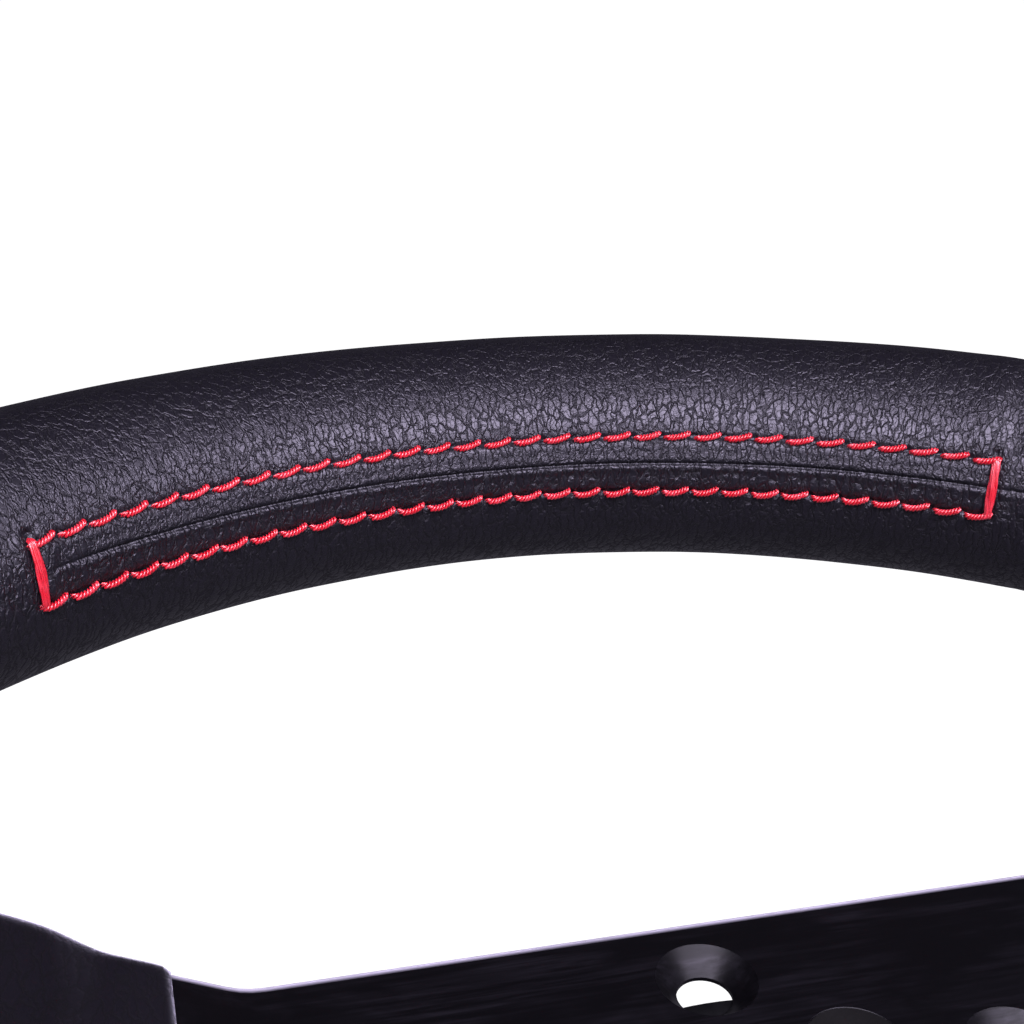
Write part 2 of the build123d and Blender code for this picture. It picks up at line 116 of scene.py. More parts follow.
class Graph:
    """Short calls for the few kinds of node that the materials here use."""

    def __init__(self, tree):
        self.tree = tree

    def node(self, kind, inputs=(), **settings):
        made = self.tree.nodes.new("ShaderNode" + kind)
        for key, value in settings.items():
            setattr(made, key, value)
        for key, value in dict(inputs).items():
            if isinstance(value, bpy.types.NodeSocket):
                self.tree.links.new(value, made.inputs[key])
            else:
                made.inputs[key].default_value = value
        return made

    def link(self, source, target):
        self.tree.links.new(source, target)

    def place(self, source, scale, turn=(0, 0, 0)):
        """The coordinates of a texture, scaled."""
        coords = self.node("TexCoord")
        found = coords.outputs[source]
        return self.node("Mapping", {"Vector": found, "Scale": scale, "Rotation": turn}).outputs[0]

    def math(self, operation, a, b=0.0, c=0.0, clamp=False):
        return self.node("Math", {0: a, 1: b, 2: c}, operation=operation, use_clamp=clamp).outputs[0]

    def remap(self, value, low, high, to_low=0.0, to_high=1.0):
        inputs = {"Value": value, "From Min": low, "From Max": high, "To Min": to_low, "To Max": to_high}
        return self.node("MapRange", inputs, clamp=True).outputs[0]

    def noise(self, vector, scale, detail=3.0, rough=0.55, distort=0.0):
        inputs = {"Vector": vector, "Scale": scale, "Detail": detail, "Roughness": rough, "Distortion": distort}
        return self.node("TexNoise", inputs).outputs[0]

    def cells(self, vector, scale, feature="DISTANCE_TO_EDGE", random=1.0):
        inputs = {"Vector": vector, "Scale": scale, "Randomness": random}
        return self.node("TexVoronoi", inputs, feature=feature).outputs["Distance"]

    def mix(self, factor, a, b):
        made = self.node("Mix", data_type="RGBA")
        for socket, value in ((made.inputs[0], factor), (made.inputs[6], a), (made.inputs[7], b)):
            if isinstance(value, bpy.types.NodeSocket):
                self.link(value, socket)
            else:
                socket.default_value = (*value, 1.0) if isinstance(value, tuple) and len(value) == 3 else value
        return made.outputs[2]

    def bump(self, height, strength, distance, normal=None):
        inputs = {"Height": height, "Strength": strength, "Distance": distance}
        if normal is not None:
            inputs["Normal"] = normal
        return self.node("Bump", inputs).outputs[0]


# The first colour is painted shade, the darker tone down in the grain's creases; the second is the leather's own
# colour.
CREASE_SHADE_COLOUR, LEATHER_COLOUR = (0.0010, 0.0009, 0.0014), (0.0058, 0.0052, 0.0078)
WORN_COLOUR = (0.0085, 0.0075, 0.0110)
PALE_VIOLET = (0.90, 0.86, 1.0, 1.0)
SHEEN_VIOLET = (0.86, 0.82, 1.0, 1.0)
GRAIN_WANDER = 0.0016  # how far the creases wander, in metres
GRAIN_DEPTH = 0.00017  # in metres


def leather_material(name="leather", sheen=0.0, depth=1.0, rough_by=0.0, gloss=0.55, pale=1.0):
    """Black pebbled leather. Its grain follows the UV map called grain: u along the rim, v round it, in metres."""
    made, tree, shader = new_material(name)
    g = Graph(tree)
    uv = g.node("UVMap", uv_map="grain").outputs[0]
    wander = g.node("TexNoise", {"Vector": uv, "Scale": 620.0, "Detail": 3.0}).outputs[1]
    warp = g.node("VectorMath", {0: wander, 1: (0.5, 0.5, 0.5)}, operation="SUBTRACT").outputs[0]
    warp = g.node("VectorMath", {0: warp, 3: GRAIN_WANDER}, operation="SCALE").outputs[0]
    warped = g.node("VectorMath", {0: uv, 1: warp}, operation="ADD").outputs[0]
    below_seam = g.remap(g.node("SeparateXYZ", {0: uv}).outputs[1], -0.0006, 0.0006)
    strength = g.noise(uv, 260.0, 3.0, 0.6)

    def creases(scale, stretch, turn, deep, width, keep):
        """A net of creases, deep in all. Where the noise passes keep, the leather stays smooth."""
        placed = g.node("Mapping", {"Vector": warped, "Scale": stretch, "Rotation": (0, 0, turn)}).outputs[0]
        net = g.remap(g.cells(placed, scale), 0.0, width, 0.0, deep)
        return g.math("MAXIMUM", net, g.remap(strength, keep, keep + 0.12, 0.0, deep))

    upright = creases(scale=640.0, stretch=(1.5, 0.62, 1.0), turn=0.10, deep=1.0, width=0.11, keep=0.66)
    slanted = creases(scale=560.0, stretch=(1.45, 0.42, 1.0), turn=-0.62, deep=1.7, width=0.20, keep=0.64)
    pebbles = creases(scale=1250.0, stretch=(1.15, 0.85, 1.0), turn=0.4, deep=1.0, width=0.12, keep=0.68)
    large = g.node("Mix", {0: below_seam, 2: upright, 3: slanted}).outputs[0]
    fine = g.noise(uv, 5200.0, 3.0, 0.7)
    height = g.math("ADD", g.math("MULTIPLY", large, 1.2), g.math("MULTIPLY", pebbles, 0.30))
    height = g.math("ADD", height, g.math("MULTIPLY", fine, 0.08))
    worn = g.noise(uv, 38.0, 4.0, 0.6)
    # Painted shade: the colour darkens down in the creases, where the height is low.
    colour = g.mix(g.remap(height, 0.45, 1.45), CREASE_SHADE_COLOUR, tuple(v * pale for v in LEATHER_COLOUR))
    colour = g.mix(g.remap(worn, 0.35, 0.75, 0.0, 0.15), colour, WORN_COLOUR)
    g.link(colour, shader.inputs["Base Color"])
    rough = g.remap(height, 0.2, 1.4, 0.58, 0.36)
    by_wear = g.remap(worn, 0.3, 0.7, rough_by - 0.01, rough_by + 0.02)
    g.link(g.math("ADD", rough, by_wear), shader.inputs["Roughness"])
    g.link(g.bump(height, 0.62 * depth, GRAIN_DEPTH), shader.inputs["Normal"])
    shader.inputs["Specular IOR Level"].default_value = gloss
    shader.inputs["Specular Tint"].default_value = PALE_VIOLET
    if sheen:
        turned_away = g.node("LayerWeight", {"Blend": 0.5}).outputs["Facing"]
        g.link(g.remap(turned_away, 0.44, 0.78, 0.0, sheen), shader.inputs["Sheen Weight"])
    shader.inputs["Sheen Roughness"].default_value = 0.3
    shader.inputs["Sheen Tint"].default_value = SHEEN_VIOLET
    return made


def thread_material():
    """Glossy red polyester: fine fibres along each ply."""
    made, tree, shader = new_material("red_thread")
    g = Graph(tree)
    where = g.place("Object", (1.0, 1.0, 1.0))
    fibres = g.noise(where, 9000.0, 2.0, 0.6)
    patch = g.noise(where, 700.0, 2.0)
    colour = g.mix(g.remap(fibres, 0.3, 0.7), (0.34, 0.0, 0.008), (0.72, 0.004, 0.022))
    colour = g.mix(g.remap(patch, 0.45, 0.75, 0.0, 0.3), colour, (0.86, 0.12, 0.17))
    g.link(colour, shader.inputs["Base Color"])
    g.link(g.remap(fibres, 0.2, 0.8, 0.22, 0.40), shader.inputs["Roughness"])
    g.link(g.bump(fibres, 0.4, 0.00005), shader.inputs["Normal"])
    shader.inputs["Specular IOR Level"].default_value = 1.0
    shader.inputs["Coat Weight"].default_value = 0.8
    shader.inputs["Coat Roughness"].default_value = 0.32
    shader.inputs["Coat IOR"].default_value = 1.6
    return made


# The third colour is the pale edge: partly worn anodising, partly a painted highlight.
PLATE_DARK, PLATE_STREAK, PLATE_WORN_EDGE_AND_HIGHLIGHT = (0.0032, 0.0029, 0.0042), (0.0165, 0.0150, 0.0200), (0.50, 0.47, 0.58)
HOLE_CIRCLE_OUT = 0.0424  # beyond the six countersunk holes, in metres
ARM_TOP = 0.0443  # where the plate's upper edge starts to round, in metres


def plate_material():
    """Black anodised sheet: short faint rolling streaks along X, and pale edges round its outline, partly worn
    anodising and partly a painted highlight, with a painted highlight line all along the upper edge.
    """
    made, tree, shader = new_material("plate_aluminium")
    g = Graph(tree)
    where = g.node("TexCoord").outputs["Object"]
    streaks = g.noise(g.place("Object", (60.0, 1400.0, 1400.0)), 1.0, 4.0, 0.65, 0.4)
    patches = g.noise(g.place("Object", (45.0, 170.0, 170.0)), 1.0, 3.0, 0.6, 0.8)
    slow = g.noise(where, 22.0, 2.0)
    grain = g.math("MULTIPLY", g.remap(streaks, 0.40, 0.68), g.remap(patches, 0.42, 0.66))
    colour = g.mix(grain, PLATE_DARK, PLATE_STREAK)
    facing = g.node("TexCoord").outputs["Normal"]
    place, normal = (g.node("SeparateXYZ", {0: v}).outputs for v in (where, facing))
    sideways = g.remap(g.math("ABSOLUTE", normal[1]), 0.12, 0.35)
    across = g.math("MULTIPLY", sideways, g.remap(place[1], -0.005, 0.0))
    slope = g.math("MULTIPLY", g.remap(normal[2], 0.15, 0.30), g.remap(normal[2], 0.80, 0.70))
    radius = g.math("SQRT", g.math("ADD", g.math("POWER", place[0], 2.0), g.math("POWER", place[1], 2.0)))
    outside = g.remap(radius, HOLE_CIRCLE_OUT, HOLE_CIRCLE_OUT + 0.0006)
    edge = g.math("MULTIPLY", g.math("MAXIMUM", across, slope), outside)
    # Painted highlight: a pale line all along the plate's upper edge, where it rounds.
    edge = g.math("MAXIMUM", edge, g.remap(place[1], ARM_TOP - 0.00065, ARM_TOP))
    # Only edges turned towards the front face get the pale colour, so the painted highlight sits on the side the
    # lamps light.
    edge = g.math("MULTIPLY", edge, g.remap(normal[2], 0.02, 0.10))
    edge = g.math("MULTIPLY", edge, g.remap(slow, 0.3, 0.6, 0.75, 1.0))
    g.link(g.mix(edge, colour, PLATE_WORN_EDGE_AND_HIGHLIGHT), shader.inputs["Base Color"])
    g.link(g.remap(grain, 0.0, 1.0, 0.42, 0.34), shader.inputs["Roughness"])
    g.link(g.math("SUBTRACT", 0.6, g.math("MULTIPLY", edge, 0.5)), shader.inputs["Metallic"])
    g.link(g.bump(streaks, 0.12, 0.00005), shader.inputs["Normal"])
    shader.inputs["Specular IOR Level"].default_value = 0.35
    return made


TURNED = (40.0, 40.0, 2500.0)  # the scale of a lathe's fine rings, which lie across the axis


def brushed_material(name, dark, light, rough, brush, edge=None, metallic=0.85):
    """Turned or ground metal, with streaks drawn out by brush. edge is the colour of its worn edges."""
    made, tree, shader = new_material(name)
    g = Graph(tree)
    streaks = g.noise(g.place("Object", brush), 6.0, 4.0, 0.7)
    long_streaks = g.noise(g.place("Object", tuple(v * 0.25 for v in brush)), 6.0, 3.0, 0.6)
    blotch = g.noise(g.place("Object", (1, 1, 1)), 26.0, 3.0)
    grain = g.math("ADD", g.math("MULTIPLY", streaks, 0.6), g.math("MULTIPLY", long_streaks, 0.4))
    colour = g.mix(g.remap(grain, 0.3, 0.7), dark, light)
    if edge:
        normal = g.node("TexCoord").outputs["Normal"]
        upright = g.math("ABSOLUTE", g.node("SeparateXYZ", {0: normal}).outputs[2])
        cut = g.math("MULTIPLY", g.remap(upright, 0.55, 0.62), g.remap(upright, 0.80, 0.74))
        cut = g.math("MULTIPLY", cut, g.remap(blotch, 0.2, 0.5, 0.65, 1.0))
        colour = g.mix(cut, colour, edge)
    g.link(colour, shader.inputs["Base Color"])
    by_grain = g.remap(grain, 0.25, 0.75, rough - 0.06, rough + 0.08)
    g.link(g.math("ADD", by_grain, g.remap(blotch, 0.3, 0.7, -0.02, 0.03)), shader.inputs["Roughness"])
    g.link(g.bump(grain, 0.18, 0.00006), shader.inputs["Normal"])
    shader.inputs["Metallic"].default_value = metallic
    return made


def plain_material(name, dark, light, rough, scale, depth, metallic=0.0):
    """Moulded plastic, rubber or oxide: a fine grain with slow changes of colour and gloss."""
    made, tree, shader = new_material(name)
    g = Graph(tree)
    where = g.place("Object", (1, 1, 1))
    grain, slow = g.noise(where, scale, 4.0, 0.6), g.noise(where, 45.0, 3.0)
    g.link(g.mix(g.remap(slow, 0.3, 0.7), dark, light), shader.inputs["Base Color"])
    both = g.math("ADD", grain, slow)
    g.link(g.remap(both, 0.7, 1.3, rough - 0.07, rough + 0.08), shader.inputs["Roughness"])
    g.link(g.bump(grain, 0.4, depth), shader.inputs["Normal"])
    shader.inputs["Metallic"].default_value = metallic
    return made


LEATHER = leather_material()
THREAD = thread_material()
ROOT_LEATHER = leather_material("root_leather", sheen=1.0, depth=0.22, rough_by=0.12, gloss=0.22, pale=0.7)
PLATE = plate_material()
HUB = brushed_material("hub_aluminium", (0.012, 0.012, 0.014), (0.030, 0.030, 0.034), 0.34, TURNED,
                       edge=(0.20, 0.20, 0.22))
COLLAR = brushed_material("collar_aluminium", (0.040, 0.040, 0.045), (0.075, 0.075, 0.082), 0.30, TURNED,
                          edge=(0.42, 0.42, 0.44))
STEEL = brushed_material("ground_steel", (0.38, 0.38, 0.40), (0.60, 0.60, 0.62), 0.30, (60.0, 60.0, 2500.0),
                         metallic=1.0)
CORE = brushed_material("core_steel", (0.22, 0.21, 0.20), (0.40, 0.39, 0.37), 0.45, (500.0, 500.0, 500.0),
                        metallic=1.0)
OXIDE = plain_material("black_oxide", (0.010, 0.010, 0.011), (0.024, 0.023, 0.024), 0.36, 2600.0, 0.00004, 0.7)
CAP = plain_material("cap_plastic", (0.008, 0.008, 0.009), (0.014, 0.014, 0.016), 0.42, 1900.0, 0.00008)
FOAM = plain_material("grip_foam", (0.03, 0.03, 0.03), (0.06, 0.06, 0.06), 0.85, 700.0, 0.0004)
RUBBER = plain_material("rubber", (0.010, 0.010, 0.010), (0.018, 0.018, 0.018), 0.62, 1500.0, 0.00008)

NODE_MATERIALS = {
    "spoke_plate": PLATE, "rim_core_tube": CORE, "rim_lug_left": CORE, "rim_lug_right": CORE,
    "rim_lug_lower": CORE, "spoke_rivets": CORE, "grip_foam": FOAM, "centre_cap": CAP, "release_hub": HUB,
    "hub_screws": OXIDE, "spline_insert": STEEL, "release_collar": COLLAR, "collar_spring": STEEL,
    "retaining_ring": OXIDE, "anti_rattle_ring": RUBBER, "column_shaft": STEEL,
}
for name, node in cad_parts.items():
    made = NODE_MATERIALS.get(name, STEEL if name.startswith("lock_ball") else LEATHER)
    node.data.materials.clear()
    node.data.materials.append(made)


# ---------------------------------------------------------------- mesh helpers
def mesh_piece(name, points, faces, material, uvs=None):
    data = bpy.data.meshes.new(name)
    data.from_pydata([mm(p) for p in points], [], faces)
    if uvs:
        layer = data.uv_layers.new(name="grain")
        for face, corners in zip(data.polygons, uvs):
            for loop, uv in zip(face.loop_indices, corners):
                layer.data[loop].uv = uv
    data.polygons.foreach_set("use_smooth", [True] * len(data.polygons))
    data.materials.append(material)
    data.update()
    made = bpy.data.objects.new(name, data)
    bpy.context.scene.collection.objects.link(made)
    return made


def grid_faces(rows, columns, start=0):
    """Quads between rows of points, each row a closed ring."""
    faces = []
    for r in range(rows - 1):
        for c in range(columns):
            d = (c + 1) % columns
            a, b = start + r * columns, start + (r + 1) * columns
            faces.append((a + c, a + d, b + d, b + c))
    return faces


def outwards(piece):
    """Turns a closed mesh's faces to point out of it."""
    work = bmesh.new()
    work.from_mesh(piece.data)
    bmesh.ops.recalc_face_normals(work, faces=work.faces)
    work.to_mesh(piece.data)
    work.free()


# ---------------------------------------------------------------- the rim
def rim_frame(s):
    """The rim's line at s, clockwise from twelve o'clock: its point, the way outwards and the way along."""
    side, t = (1 if s >= 0 else -1), abs(s)
    if t <= ARC_END:
        centre, radius, turn = Vector((0, ARC_Y, RIM_Z)), ARC_R, t / ARC_R
    elif t <= CORNER_END:
        centre, radius = Vector((side * corner_x, corner_y, RIM_Z)), CORNER_R
        turn = corner_turn + (t - ARC_END) / CORNER_R
    else:
        across = side * (corner_x - (t - CORNER_END))
        return Vector((across, BOTTOM_Y, RIM_Z)), Vector((0, -1, 0)), Vector((-1, 0, 0))
    turn *= side
    out = Vector((sin(turn), cos(turn), 0))
    return centre + out * radius, out, Vector((cos(turn), -sin(turn), 0))


def grip_radius(s):
    turn = s / ARC_R
    return GRIP_R + SWELL * (1 - exp(-((turn / SWELL_ANGLE) ** 2)))


def arm_middle(arm, x):
    return min(ARM_Z, ARM_Z * (x - arm["bend"]) / (arm["level"] - arm["bend"])) - PLATE_T / 2


def sleeve_size(arm, x):
    """Thickness of a sleeve beyond the plate, at a distance from the axis."""
    run = x - arm["start"]
    step = SLEEVE_STEP * smooth(SLEEVE_STEP_AT, SLEEVE_STEP_AT + SLEEVE_STEP_L, run)
    full = SLEEVE_ROOT_T - SLEEVE_T - SLEEVE_STEP
    grow = full * smooth(SLEEVE_STEP_AT, arm["stop"] - arm["start"], run) ** 1.5
    return SLEEVE_T + step + grow


def sleeve_side(arm, x):
    """How far a sleeve reaches beyond the plate's sides."""
    grow = smooth(SLEEVE_STEP_AT, 3 * SLEEVE_STEP_AT, x - arm["start"])
    return SLEEVE_SIDE + (SLEEVE_ROOT_SIDE - SLEEVE_SIDE) * grow


def arm_point(arm, p):
    """A point as seen from an arm: along it, across it and up. The lower arm runs down -Y."""
    return (-p.y, p.x, p.z) if arm is LOWER_ARM else (abs(p.x), p.y, p.z)


def section_half(arm, x):
    """Half the width and thickness of a sleeve's section, and the radius of its edges."""
    half = (arm["high"] - arm["low"]) / 2 + sleeve_side(arm, x)
    thick = PLATE_T / 2 + sleeve_size(arm, x)
    return half, thick, thick * SLEEVE_ROUND


def to_sleeve(arm, p):
    """Distance from a point to a sleeve's outside, negative within it."""
    x, y, z = arm_point(arm, p)
    half, thick, edge = section_half(arm, x)
    qy = abs(y - (arm["high"] + arm["low"]) / 2) - half + edge
    qz = abs(z - arm_middle(arm, x)) - thick + edge
    return max(hypot(max(qy, 0), max(qz, 0)) + min(max(qy, qz), 0) - edge, x - arm["stop"])


def to_rim(arm, p):
    """Distance from a point to the rim's leather, beside one arm."""
    if arm is LOWER_ARM:
        return hypot(p.y - BOTTOM_Y, p.z - RIM_Z) - grip_radius(HALF_LOOP)
    out = hypot(p.x, p.y - ARC_Y)
    turn = atan2(abs(p.x), p.y - ARC_Y)
    return hypot(out - ARC_R, p.z - RIM_Z) - grip_radius(turn * ARC_R)


def union(arm, p):
    """Distance to the rim and a sleeve with their corner filled by a smooth curve."""
    a, b = to_sleeve(arm, p), to_rim(arm, p)
    h = max(BLEND - abs(a - b), 0) / BLEND
    return min(a, b) - h * h * BLEND / 4


def onto_union(arm, p, other):
    """Moves a point of one surface to the filled corner. Where the other surface covers it, it stays inside."""
    depth = other(arm, p)
    if depth > BLEND:
        return p
    start, probe = p.copy(), 0.05
    axes = (Vector((probe, 0, 0)), Vector((0, probe, 0)), Vector((0, 0, probe)))
    for _ in range(6):
        value = union(arm, p)
        if abs(value) < 0.01:
            break
        slope = Vector([union(arm, p + step) - value for step in axes]) / probe
        p = p - slope * (value / max(0.2, slope.length_squared))
    return p if depth >= 0 else start + (p - start) * max(0.0, 1 + depth / 2.5) * 0.9


def nearest_row_hole(s):
    """Distance along the rim to the nearest needle hole."""
    t = (s - STITCH_FIRST) / STITCH_PITCH - 0.5
    return (t - floor(t + 0.5)) * STITCH_PITCH


# the leather's relief, each pair a height or depth and its width
SEAM_DEPTH, SEAM_WIDTH = 0.55, 0.17
LIP_HEIGHT, LIP_AT, LIP_WIDTH = 0.13, 0.75, 0.6  # the rolled edges beside the seam
FOLD_HEIGHT, FOLD_AT, FOLD_WIDTH = 0.10, 0.7, 0.55  # the fuller edge below it
BAND_HEIGHT = 0.20  # the leather between the thread rows stands up by this
CHANNEL_DEPTH, CHANNEL_WIDTH = 0.24, 0.5
HOLE_DEPTH, HOLE_WIDTH = 0.50, 0.38
PUCKER_DEPTH, PUCKER_LENGTH, PUCKER_AT, PUCKER_WIDTH = 0.12, 0.9, 0.9, 1.2  # leather pulled in beside a hole
DENT_DEPTH, DENT_WIDTH = 0.45, 0.8  # under a bar tack
BANK_HEIGHT, BANK_AT, BANK_WIDTH = 0.20, 2.0, 1.0  # to either side of it
TACK_HOLE_DEPTH, TACK_HOLE_AT, TACK_HOLE_SIZE = 1.0, 1.4, (0.5, 0.55)
CREASE_DEPTH, CREASE_AT, CREASE_WIDTH = 0.85, 1.3, 2.4  # the soft fold that goes on above the right tack
RISE_HEIGHT, RISE_AT, RISE_WIDTH = 0.35, 3.6, 3.0
WAVE_HEIGHT, RIPPLE_HEIGHT, SLOW_HEIGHT = 0.34, 0.25, 0.14


def skin_height(s, w):
    """The leather's relief, in millimetres: seam, thread channels, needle holes, tack dents and soft folds."""
    inside = smooth(TACK_LEFT - 1.5, TACK_LEFT + 0.8, s) * smooth(TACK_RIGHT + 1.5, TACK_RIGHT - 0.8, s)
    after = smooth(TACK_RIGHT - 1, TACK_RIGHT + 2, s)
    open_seam = inside * smooth(TACK_LEFT - 1, TACK_LEFT + 16, s) + 0.6 * after
    near = nearest_row_hole(s)
    row = abs(w) - (ROW_IN if w > 0 else ROW_OUT)
    h = -SEAM_DEPTH * (0.25 * inside + 0.75 * open_seam) * bump(w, SEAM_WIDTH)
    h += LIP_HEIGHT * open_seam * bump(abs(w) - LIP_AT, LIP_WIDTH)
    h += FOLD_HEIGHT * open_seam * bump(w - FOLD_AT, FOLD_WIDTH)
    h += BAND_HEIGHT * inside * smooth(0.2, -1.8, row)
    h -= CHANNEL_DEPTH * inside * bump(row, CHANNEL_WIDTH)
    h -= HOLE_DEPTH * inside * bump(row, CHANNEL_WIDTH) * bump(near, HOLE_WIDTH)
    h -= PUCKER_DEPTH * bump(near, PUCKER_LENGTH) * inside * bump(row - PUCKER_AT, PUCKER_WIDTH)
    for tack in (TACK_LEFT, TACK_RIGHT):
        h -= DENT_DEPTH * bump(s - tack, DENT_WIDTH) * smooth(1.2, 0.0, row)
        h += BANK_HEIGHT * bump(abs(s - tack) - BANK_AT, BANK_WIDTH) * smooth(2.5, 0.0, row)
        needle = bump(s - tack, TACK_HOLE_SIZE[0]) * bump(w + ROW_OUT + TACK_HOLE_AT, TACK_HOLE_SIZE[1])
        h -= TACK_HOLE_DEPTH * needle
    run = smooth(-ROW_OUT, -ROW_OUT - 3.5, w) * smooth(-36.0, -14.0, w)
    lean = TACK_RIGHT + 0.8 - 0.06 * w
    crease = CREASE_DEPTH * bump(s - lean - CREASE_AT, CREASE_WIDTH)
    h -= run * (crease - RISE_HEIGHT * bump(s - lean + RISE_AT, RISE_WIDTH))
    fold = smooth(TACK_LEFT + 3, TACK_LEFT - 12, s) + smooth(TACK_RIGHT + 1, TACK_RIGHT + 9, s)
    if fold > 0 and abs(s) < ARC_END:
        h += WAVE_HEIGHT * fold * noise.noise(Vector((s / 6.5 + 0.10 * w, w / 2.2, 3.7))) * bump(w, 6.0)
        h += RIPPLE_HEIGHT * fold * noise.noise(Vector((s / 4.0 + 0.2 * w, w / 14.0, 5.2)))
    h += SLOW_HEIGHT * noise.noise(Vector((s / 19.0, w / 11.0, 9.1)))
    return h


def section_angles():
    """Angles round the grip from the seam, close together beside it and its thread rows."""
    near, step, coarse_step = 6.6, 0.2, radians(4.5)
    count = int(near / step)
    fine = [step * i / GRIP_R for i in range(-count, count + 1)]
    side = ceil((pi - fine[-1]) / coarse_step)
    coarse = [fine[-1] + (pi - fine[-1]) * i / side for i in range(1, side + 1)]
    return [-a for a in coarse[-2::-1]] + fine + coarse


PANEL_TURN_IN, PANEL_TURN_L = 0.55, 0.9  # how deep and how long its ends turn in
FOAM_GAP = 0.05  # between the foam and the leather


def declare_skin(piece):
    """Sets what every leather skin has in common."""
    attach(piece, "wheel")


def leather_panel(name, start, end, step, arm=None):
    """One leather panel of the rim, a closed skin over the foam, with turned-in ends."""
    angles = section_angles()
    count = max(2, round(abs(end - start) / step))
    points, corners = [], []
    stations = [start + (end - start) * i / count for i in range(count + 1)]
    for s in stations:
        centre, out, _ = rim_frame(s)
        r = grip_radius(s)
        turned = PANEL_TURN_IN * (bump(s - start, PANEL_TURN_L) + bump(s - end, PANEL_TURN_L))
        for a in angles:
            w = a * r
            way = out * cos(SEAM + a) + Vector((0, 0, sin(SEAM + a)))
            h = skin_height(s, w) - turned
            p = centre + way * r
            if arm:
                p = onto_union(arm, p, to_sleeve)
            points.append(p + way * h)
            corners.append((s * MM, w * MM))
    columns = len(angles)
    for s in stations[::-1]:
        centre, out, _ = rim_frame(s)
        for a in angles:
            points.append(centre + (out * cos(SEAM + a) + Vector((0, 0, sin(SEAM + a)))) * (FOAM_R + FOAM_GAP))
            corners.append((s * MM, a * FOAM_R * MM))
    total = 2 * len(stations)
    faces = grid_faces(total, columns)
    last = (total - 1) * columns
    faces += [(last + c, last + (c + 1) % columns, (c + 1) % columns, c) for c in range(columns)]
    uvs = []
    for face in faces:
        values = [corners[i] for i in face]
        widest = max(v for _, v in values)
        wrap = 2 * pi * GRIP_R * MM
        uvs.append([(u, v + wrap if widest - v > wrap / 2 else v) for u, v in values])
    if end < start:
        faces = [f[::-1] for f in faces]
        uvs = [u[::-1] for u in uvs]
    made = mesh_piece(name, points, faces, LEATHER, uvs)
    declare_skin(made)
    return made


def rounded_section(half, thick, edge, count):
    """Points evenly spaced along a rounded rectangle, each with its way outwards."""
    flat_y, flat_z = half - edge, thick - edge
    arc = pi * edge / 2
    sides = (2 * flat_z, arc, 2 * flat_y, arc) * 2
    total = sum(sides)
    found = []
    for i in range(count):
        d = total * i / count
        k = 0
        while d > sides[k]:
            d -= sides[k]
            k += 1
        turn = (k // 2) * pi / 2
        corner_y, corner_z = ((1, 1), (-1, 1), (-1, -1), (1, -1))[k // 2]
        if k % 2:
            angle = turn + d / edge
            normal = (cos(angle), sin(angle))
            found.append((corner_y * flat_y + normal[0] * edge, corner_z * flat_z + normal[1] * edge, *normal))
        else:
            normal = (round(cos(turn)), round(sin(turn)))
            start = ((1, -1), (1, 1), (-1, 1), (-1, -1))[k // 2]
            way = (-normal[1], normal[0])
            found.append((start[0] * flat_y + normal[0] * edge + way[0] * d,
                          start[1] * flat_z + normal[1] * edge + way[1] * d, *normal))
    return found


def spoke_sleeve(name, arm, side):
    """Leather round a spoke root: a rounded section that grows into the rim, with a rolled open edge."""
    middle, plate_half = (arm["high"] + arm["low"]) / 2, (arm["high"] - arm["low"]) / 2
    ring, steps = 128, 80
    roll_in, roll_length, wobble = 0.5, 0.6, 0.10
    gap, inner_round = 0.15, 0.3
    points = []

    def place(x, y, z):
        height = arm_middle(arm, x) + z
        if arm is LOWER_ARM:
            return Vector((middle + y, -x, height))
        return Vector((side * x, middle + y, height))

    for i in range(steps + 1):
        x = arm["start"] + (arm["stop"] - arm["start"]) * i / steps
        half, thick, edge = section_half(arm, x)
        roll = roll_in * bump(x - arm["start"], roll_length)
        for y, z, *_ in rounded_section(half - roll, thick - roll, edge - roll, ring):
            p = place(x, y, z)
            p = onto_union(arm, p, to_rim)
            way = Vector((0, 0, 1 if z > 0 else -1))
            points.append(p + way * wobble * noise.noise(Vector((p.x / 9, p.y / 9, 2.0 + z / 30))))
    rows = steps + 1
    for x in (arm["stop"], arm["start"] + 0.1):
        for y, z, *_ in rounded_section(plate_half + gap, PLATE_T / 2 + gap, inner_round, ring):
            points.append(place(x, y, z))
        rows += 1
    faces = grid_faces(rows, ring)
    last = (rows - 1) * ring
    faces += [(last + c, last + (c + 1) % ring, (c + 1) % ring, c) for c in range(ring)]
    flat = [arm_point(arm, p) for p in points]
    uvs = [[(flat[i][0] * MM, (flat[i][1] + flat[i][2]) * MM) for i in face] for face in faces]
    made = mesh_piece(name, points, faces, ROOT_LEATHER, uvs)
    outwards(made)
    declare_skin(made)
    return made


panel_top = leather_panel("leather_top_skin", -TOP_END, TOP_END, 0.5)
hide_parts("leather_top")
panel_right = leather_panel("leather_right_skin", TOP_END, CORNER_END, 1.1, SIDE_ARM)
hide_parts("leather_right")
panel_left = leather_panel("leather_left_skin", -TOP_END, -CORNER_END, 1.1, SIDE_ARM)
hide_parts("leather_left")

panel_bottom = leather_panel("leather_bottom_skin", CORNER_END, CORNER_END + 2 * corner_x, 1.1, LOWER_ARM)
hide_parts("leather_bottom")

sleeve_left = spoke_sleeve("sleeve_left_skin", SIDE_ARM, -1)
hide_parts("spoke_sleeve_left")
sleeve_right = spoke_sleeve("sleeve_right_skin", SIDE_ARM, 1)
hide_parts("spoke_sleeve_right")
sleeve_lower = spoke_sleeve("sleeve_lower_skin", LOWER_ARM, 1)
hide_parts("spoke_sleeve_lower")


